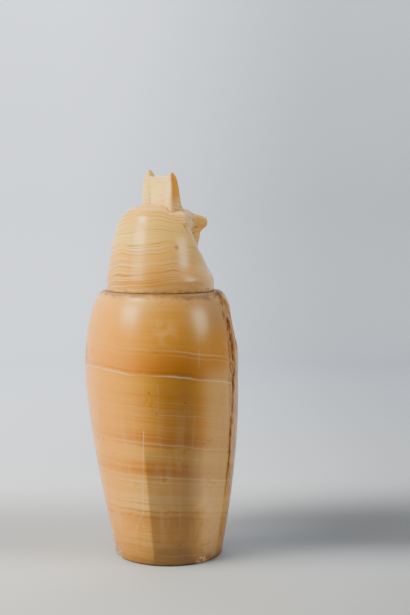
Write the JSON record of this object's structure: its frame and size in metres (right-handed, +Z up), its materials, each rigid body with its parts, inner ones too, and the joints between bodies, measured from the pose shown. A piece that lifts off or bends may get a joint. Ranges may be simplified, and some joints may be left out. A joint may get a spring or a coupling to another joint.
{
  "type": "canopic jar",
  "caption": "Tall round-shouldered jar of banded calcite, hollow, with a loose carved jackal-head lid that seats in its mouth.",
  "frame": {"origin": "on the mouth's axis, at the level of the flat underside that the jar stands on", "axes": "+Z up; the jackal looks along -Y, and its right side is at -X"},
  "size_m": [0.1754, 0.1754, 0.442],
  "materials": {
    "jar_calcite": "polished banded honey calcite, chipped and cracked",
    "lid_calcite": "polished finely banded pale calcite"
  },
  "bodies": {
    "root": {"jar": "jar_calcite", "jackal_head_lid": "lid_calcite"}
  },
  "joints": []
}
